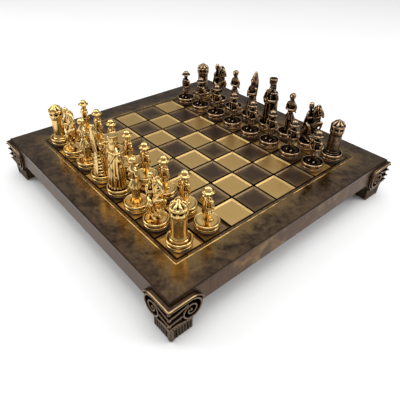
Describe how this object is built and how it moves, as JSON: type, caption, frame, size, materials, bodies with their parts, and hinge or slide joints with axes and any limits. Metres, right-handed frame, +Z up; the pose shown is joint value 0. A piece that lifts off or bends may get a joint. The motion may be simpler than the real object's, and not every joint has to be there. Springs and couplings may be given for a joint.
{
  "type": "chess set with board",
  "caption": "Square brass-clad chess board on four cast scroll-and-flute corner feet, with two opposing armies of small cast metal figures standing in their starting places.",
  "frame": {"origin": "middle of the board's footprint, on the surface that the feet stand on", "axes": "+Z up, +Y from the gold army towards the brown army, +X to the gold player's right"},
  "size_m": [0.2072, 0.2072, 0.0717],
  "materials": {
    "board_core": "raw fibreboard, hidden inside the brass",
    "patinated_brass": "dark brown marbled patina over brass, semi-gloss lacquer",
    "aged_brass": "dark aged brass with a worn bright bead",
    "dark_tray": "blackened",
    "satin_brass": "satin brass, bright at the bevels",
    "brown_patina": "dark brown patina, brassy at the margins",
    "side_brass": "grey-brown brushed brass with worn golden patches",
    "foot_bronze": "antique bronze wash, dark in the recesses, worn on the ridges",
    "gold_casting": "polished gold plating",
    "brown_casting": "antiqued copper-brown plating, near black in the recesses",
    "felt": "black felt",
    "steel": "zinc-plated screw"
  },
  "bodies": {
    "board": {"core_panel": "board_core", "border_plate": "patinated_brass", "field_frame": "aged_brass", "field_plate": "dark_tray", "light_squares": "satin_brass", "dark_squares": "brown_patina", "side_strip_front": "side_brass", "side_strip_right": "side_brass", "side_strip_back": "side_brass", "side_strip_left": "side_brass", "base_felt": "felt", "foot_front_left": "foot_bronze", "foot_front_right": "foot_bronze", "foot_back_right": "foot_bronze", "foot_back_left": "foot_bronze", "foot_pads": "felt", "foot_screws": "steel"},
    "gold_rook_left": {"gold_rook_left": "gold_casting"},
    "gold_knight_left": {"gold_knight_left": "gold_casting"},
    "gold_bishop_left": {"gold_bishop_left": "gold_casting"},
    "gold_queen": {"gold_queen": "gold_casting"},
    "gold_king": {"gold_king": "gold_casting"},
    "gold_bishop_right": {"gold_bishop_right": "gold_casting"},
    "gold_knight_right": {"gold_knight_right": "gold_casting"},
    "gold_rook_right": {"gold_rook_right": "gold_casting"},
    "brown_rook_left": {"brown_rook_left": "brown_casting"},
    "brown_knight_left": {"brown_knight_left": "brown_casting"},
    "brown_bishop_left": {"brown_bishop_left": "brown_casting"},
    "brown_queen": {"brown_queen": "brown_casting"},
    "brown_king": {"brown_king": "brown_casting"},
    "brown_bishop_right": {"brown_bishop_right": "brown_casting"},
    "brown_knight_right": {"brown_knight_right": "brown_casting"},
    "brown_rook_right": {"brown_rook_right": "brown_casting"},
    "gold_pawn_1": {"gold_pawn_1": "gold_casting"},
    "gold_pawn_2": {"gold_pawn_2": "gold_casting"},
    "gold_pawn_3": {"gold_pawn_3": "gold_casting"},
    "gold_pawn_4": {"gold_pawn_4": "gold_casting"},
    "gold_pawn_5": {"gold_pawn_5": "gold_casting"},
    "gold_pawn_6": {"gold_pawn_6": "gold_casting"},
    "gold_pawn_7": {"gold_pawn_7": "gold_casting"},
    "gold_pawn_8": {"gold_pawn_8": "gold_casting"},
    "brown_pawn_1": {"brown_pawn_1": "brown_casting"},
    "brown_pawn_2": {"brown_pawn_2": "brown_casting"},
    "brown_pawn_3": {"brown_pawn_3": "brown_casting"},
    "brown_pawn_4": {"brown_pawn_4": "brown_casting"},
    "brown_pawn_5": {"brown_pawn_5": "brown_casting"},
    "brown_pawn_6": {"brown_pawn_6": "brown_casting"},
    "brown_pawn_7": {"brown_pawn_7": "brown_casting"},
    "brown_pawn_8": {"brown_pawn_8": "brown_casting"}
  },
  "joints": [
    {"name": "gold_rook_left_lift", "type": "slide", "parent": "board", "child": "gold_rook_left", "axis": [0, 0, 1], "range_m": [0, 0.06]},
    {"name": "gold_knight_left_lift", "type": "slide", "parent": "board", "child": "gold_knight_left", "axis": [0, 0, 1], "range_m": [0, 0.06]},
    {"name": "gold_bishop_left_lift", "type": "slide", "parent": "board", "child": "gold_bishop_left", "axis": [0, 0, 1], "range_m": [0, 0.06]},
    {"name": "gold_queen_lift", "type": "slide", "parent": "board", "child": "gold_queen", "axis": [0, 0, 1], "range_m": [0, 0.06]},
    {"name": "gold_king_lift", "type": "slide", "parent": "board", "child": "gold_king", "axis": [0, 0, 1], "range_m": [0, 0.06]},
    {"name": "gold_bishop_right_lift", "type": "slide", "parent": "board", "child": "gold_bishop_right", "axis": [0, 0, 1], "range_m": [0, 0.06]},
    {"name": "gold_knight_right_lift", "type": "slide", "parent": "board", "child": "gold_knight_right", "axis": [0, 0, 1], "range_m": [0, 0.06]},
    {"name": "gold_rook_right_lift", "type": "slide", "parent": "board", "child": "gold_rook_right", "axis": [0, 0, 1], "range_m": [0, 0.06]},
    {"name": "brown_rook_left_lift", "type": "slide", "parent": "board", "child": "brown_rook_left", "axis": [0, 0, 1], "range_m": [0, 0.06]},
    {"name": "brown_knight_left_lift", "type": "slide", "parent": "board", "child": "brown_knight_left", "axis": [0, 0, 1], "range_m": [0, 0.06]},
    {"name": "brown_bishop_left_lift", "type": "slide", "parent": "board", "child": "brown_bishop_left", "axis": [0, 0, 1], "range_m": [0, 0.06]},
    {"name": "brown_queen_lift", "type": "slide", "parent": "board", "child": "brown_queen", "axis": [0, 0, 1], "range_m": [0, 0.06]},
    {"name": "brown_king_lift", "type": "slide", "parent": "board", "child": "brown_king", "axis": [0, 0, 1], "range_m": [0, 0.06]},
    {"name": "brown_bishop_right_lift", "type": "slide", "parent": "board", "child": "brown_bishop_right", "axis": [0, 0, 1], "range_m": [0, 0.06]},
    {"name": "brown_knight_right_lift", "type": "slide", "parent": "board", "child": "brown_knight_right", "axis": [0, 0, 1], "range_m": [0, 0.06]},
    {"name": "brown_rook_right_lift", "type": "slide", "parent": "board", "child": "brown_rook_right", "axis": [0, 0, 1], "range_m": [0, 0.06]},
    {"name": "gold_pawn_1_lift", "type": "slide", "parent": "board", "child": "gold_pawn_1", "axis": [0, 0, 1], "range_m": [0, 0.06]},
    {"name": "gold_pawn_2_lift", "type": "slide", "parent": "board", "child": "gold_pawn_2", "axis": [0, 0, 1], "range_m": [0, 0.06]},
    {"name": "gold_pawn_3_lift", "type": "slide", "parent": "board", "child": "gold_pawn_3", "axis": [0, 0, 1], "range_m": [0, 0.06]},
    {"name": "gold_pawn_4_lift", "type": "slide", "parent": "board", "child": "gold_pawn_4", "axis": [0, 0, 1], "range_m": [0, 0.06]},
    {"name": "gold_pawn_5_lift", "type": "slide", "parent": "board", "child": "gold_pawn_5", "axis": [0, 0, 1], "range_m": [0, 0.06]},
    {"name": "gold_pawn_6_lift", "type": "slide", "parent": "board", "child": "gold_pawn_6", "axis": [0, 0, 1], "range_m": [0, 0.06]},
    {"name": "gold_pawn_7_lift", "type": "slide", "parent": "board", "child": "gold_pawn_7", "axis": [0, 0, 1], "range_m": [0, 0.06]},
    {"name": "gold_pawn_8_lift", "type": "slide", "parent": "board", "child": "gold_pawn_8", "axis": [0, 0, 1], "range_m": [0, 0.06]},
    {"name": "brown_pawn_1_lift", "type": "slide", "parent": "board", "child": "brown_pawn_1", "axis": [0, 0, 1], "range_m": [0, 0.06]},
    {"name": "brown_pawn_2_lift", "type": "slide", "parent": "board", "child": "brown_pawn_2", "axis": [0, 0, 1], "range_m": [0, 0.06]},
    {"name": "brown_pawn_3_lift", "type": "slide", "parent": "board", "child": "brown_pawn_3", "axis": [0, 0, 1], "range_m": [0, 0.06]},
    {"name": "brown_pawn_4_lift", "type": "slide", "parent": "board", "child": "brown_pawn_4", "axis": [0, 0, 1], "range_m": [0, 0.06]},
    {"name": "brown_pawn_5_lift", "type": "slide", "parent": "board", "child": "brown_pawn_5", "axis": [0, 0, 1], "range_m": [0, 0.06]},
    {"name": "brown_pawn_6_lift", "type": "slide", "parent": "board", "child": "brown_pawn_6", "axis": [0, 0, 1], "range_m": [0, 0.06]},
    {"name": "brown_pawn_7_lift", "type": "slide", "parent": "board", "child": "brown_pawn_7", "axis": [0, 0, 1], "range_m": [0, 0.06]},
    {"name": "brown_pawn_8_lift", "type": "slide", "parent": "board", "child": "brown_pawn_8", "axis": [0, 0, 1], "range_m": [0, 0.06]}
  ]
}
